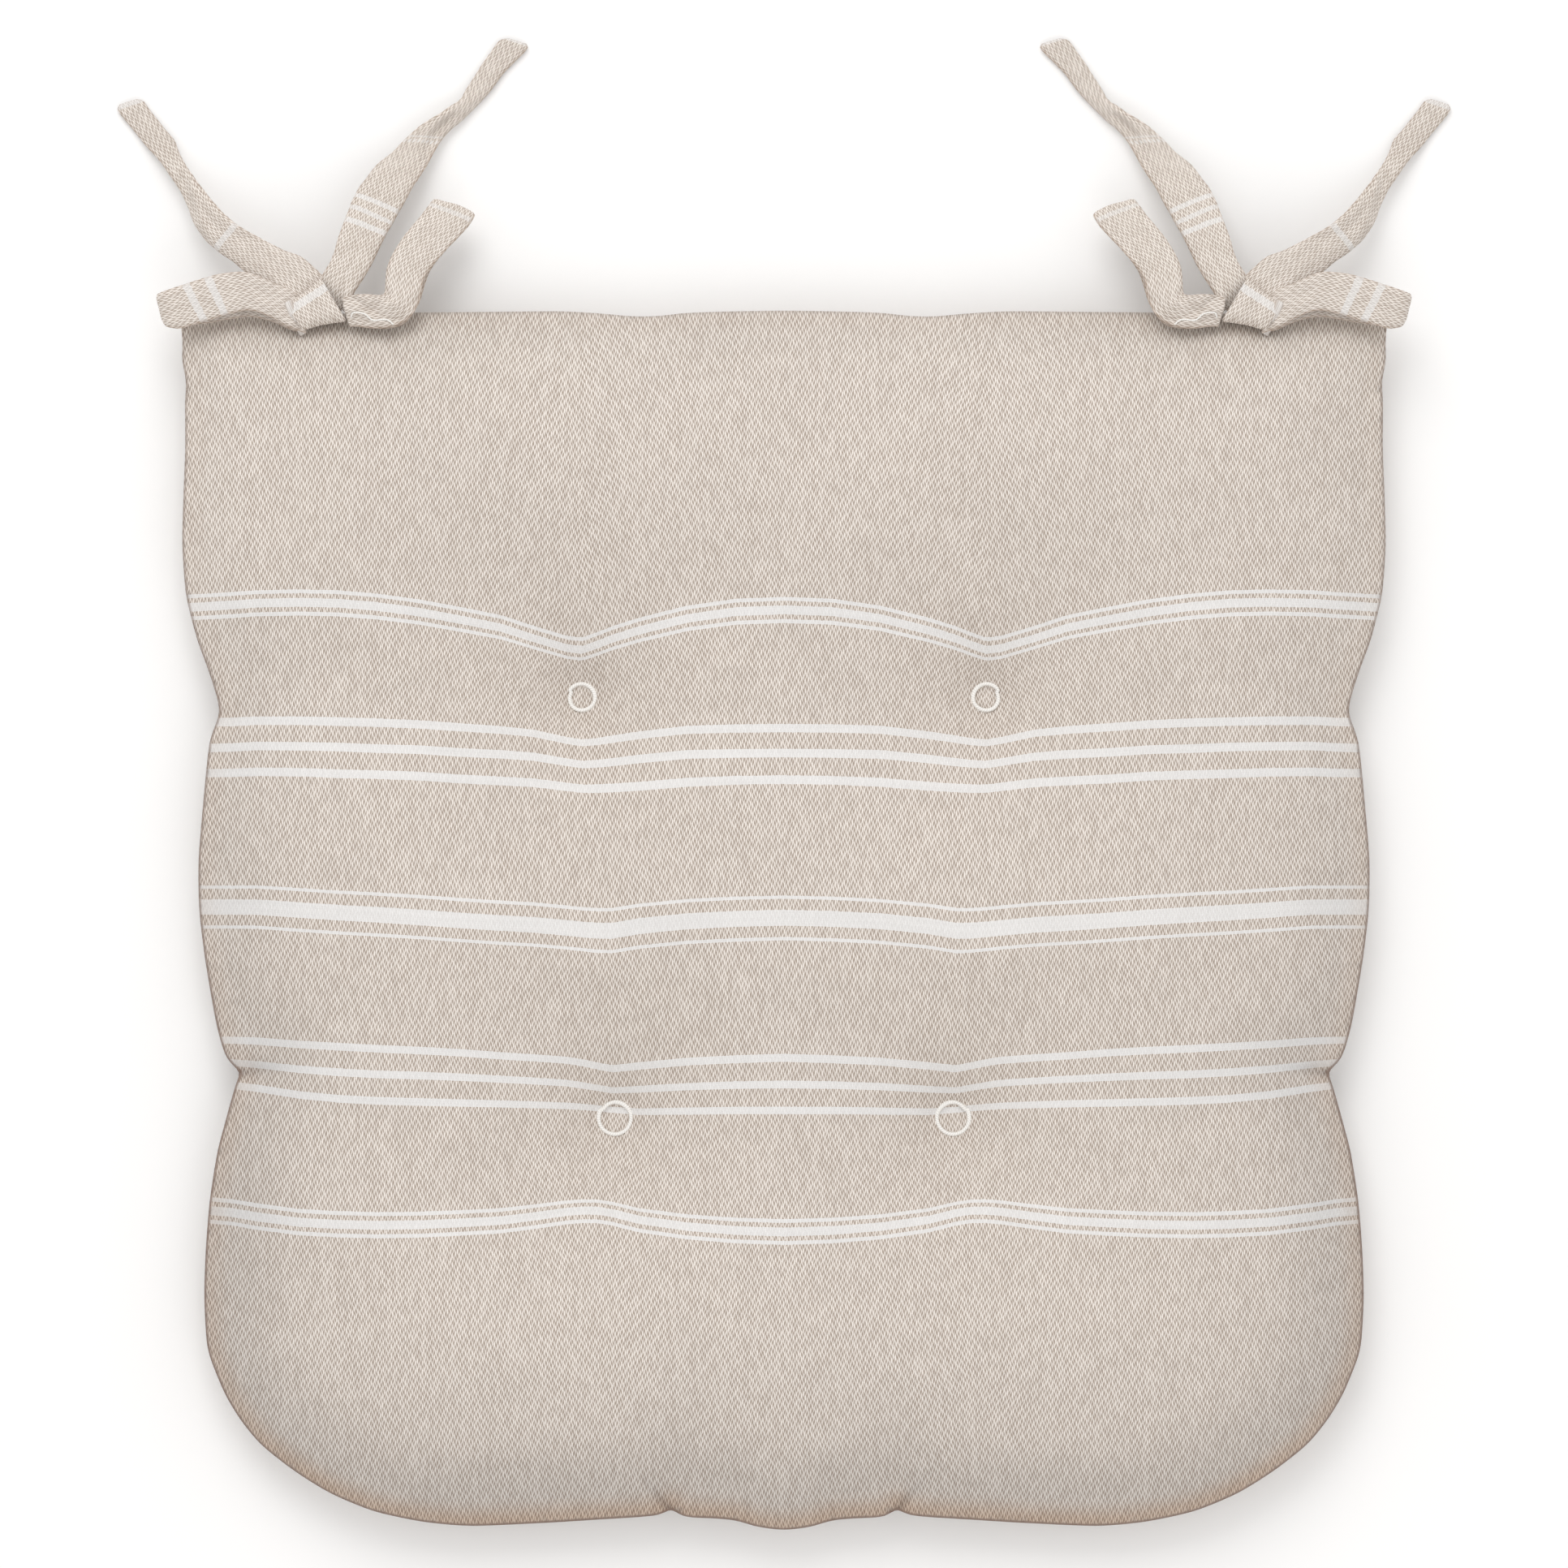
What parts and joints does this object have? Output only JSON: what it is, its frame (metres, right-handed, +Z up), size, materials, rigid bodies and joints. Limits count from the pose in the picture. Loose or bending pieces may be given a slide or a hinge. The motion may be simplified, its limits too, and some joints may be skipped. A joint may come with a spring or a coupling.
{
  "type": "seat cushion",
  "caption": "tufted square chair pad with rounded front corners, a woven striped cover, stitched ring tufts and fabric straps tied in bows at the back corners",
  "frame": {"origin": "middle of the flat underside, on the surface the cushion rests on", "axes": "+Z up out of the underside, +Y towards the back edge with the straps, +X towards the right side"},
  "size_m": [0.4472, 0.4967, 0.044],
  "materials": {
    "top_fabric": "flat woven cotton, cream and taupe yarns with off-white weft stripes",
    "bottom_fabric": "the same flat woven cotton",
    "strap_fabric": "the same cotton, folded and sewn into flat straps",
    "fibre": "polyester fibre wadding",
    "thread": "twisted off-white sewing thread"
  },
  "bodies": {
    "pad": {"top_cover": "top_fabric", "bottom_cover": "bottom_fabric", "fibre_filling": "fibre", "perimeter_seam_thread": "thread", "side_tack_left": "thread", "side_tack_right": "thread", "front_tack_left": "thread", "front_tack_right": "thread", "tuft_back_left_top_ring": "thread", "tuft_back_left_bottom_ring": "thread", "tuft_back_left_through_stitches": "thread", "tuft_back_right_top_ring": "thread", "tuft_back_right_bottom_ring": "thread", "tuft_back_right_through_stitches": "thread", "tuft_front_left_top_ring": "thread", "tuft_front_left_bottom_ring": "thread", "tuft_front_left_through_stitches": "thread", "tuft_front_right_top_ring": "thread", "tuft_front_right_bottom_ring": "thread", "tuft_front_right_through_stitches": "thread", "left_strap_sewn_end": "strap_fabric", "right_strap_sewn_end": "strap_fabric"},
    "left_tie": {"left_strap_root": "strap_fabric", "left_bow_knot": "strap_fabric"},
    "left_outer_loop_body": {"left_bow_outer_loop": "strap_fabric"},
    "left_inner_loop_body": {"left_bow_inner_loop": "strap_fabric"},
    "left_outer_tail_body": {"left_outer_tail": "strap_fabric"},
    "left_inner_tail_body": {"left_inner_tail": "strap_fabric"},
    "right_tie": {"right_strap_root": "strap_fabric", "right_bow_knot": "strap_fabric"},
    "right_outer_loop_body": {"right_bow_outer_loop": "strap_fabric"},
    "right_inner_loop_body": {"right_bow_inner_loop": "strap_fabric"},
    "right_outer_tail_body": {"right_outer_tail": "strap_fabric"},
    "right_inner_tail_body": {"right_inner_tail": "strap_fabric"}
  },
  "joints": [
    {"name": "left_tie_hinge", "type": "hinge", "parent": "pad", "child": "left_tie", "pos_m": [-0.1538, 0.2021, 0.016], "axis": [1, 0, 0], "range_deg": [-90, 0]},
    {"name": "left_outer_loop_lift", "type": "hinge", "parent": "left_tie", "child": "left_outer_loop_body", "pos_m": [-0.1686, 0.2044, 0.026], "axis": [0.1191, 0.9929, 0], "range_deg": [0, 60]},
    {"name": "left_inner_loop_lift", "type": "hinge", "parent": "left_tie", "child": "left_inner_loop_body", "pos_m": [-0.1439, 0.2012, 0.026], "axis": [0.6919, -0.722, 0], "range_deg": [0, 60]},
    {"name": "left_outer_tail_lift", "type": "hinge", "parent": "left_tie", "child": "left_outer_tail_body", "pos_m": [-0.1624, 0.2144, 0.0245], "axis": [0.5026, 0.8645, 0], "range_deg": [-25, 70]},
    {"name": "left_inner_tail_lift", "type": "hinge", "parent": "left_tie", "child": "left_inner_tail_body", "pos_m": [-0.1453, 0.2138, 0.0245], "axis": [0.9243, -0.3818, 0], "range_deg": [-25, 70]},
    {"name": "right_tie_hinge", "type": "hinge", "parent": "pad", "child": "right_tie", "pos_m": [0.1538, 0.2021, 0.016], "axis": [1, 0, 0], "range_deg": [-90, 0]},
    {"name": "right_outer_loop_lift", "type": "hinge", "parent": "right_tie", "child": "right_outer_loop_body", "pos_m": [0.1686, 0.2044, 0.026], "axis": [0.1191, -0.9929, 0], "range_deg": [0, 60]},
    {"name": "right_inner_loop_lift", "type": "hinge", "parent": "right_tie", "child": "right_inner_loop_body", "pos_m": [0.1439, 0.2012, 0.026], "axis": [0.6919, 0.722, 0], "range_deg": [0, 60]},
    {"name": "right_outer_tail_lift", "type": "hinge", "parent": "right_tie", "child": "right_outer_tail_body", "pos_m": [0.1624, 0.2144, 0.0245], "axis": [0.5026, -0.8645, 0], "range_deg": [-25, 70]},
    {"name": "right_inner_tail_lift", "type": "hinge", "parent": "right_tie", "child": "right_inner_tail_body", "pos_m": [0.1453, 0.2138, 0.0245], "axis": [0.9243, 0.3818, 0], "range_deg": [-25, 70]}
  ]
}
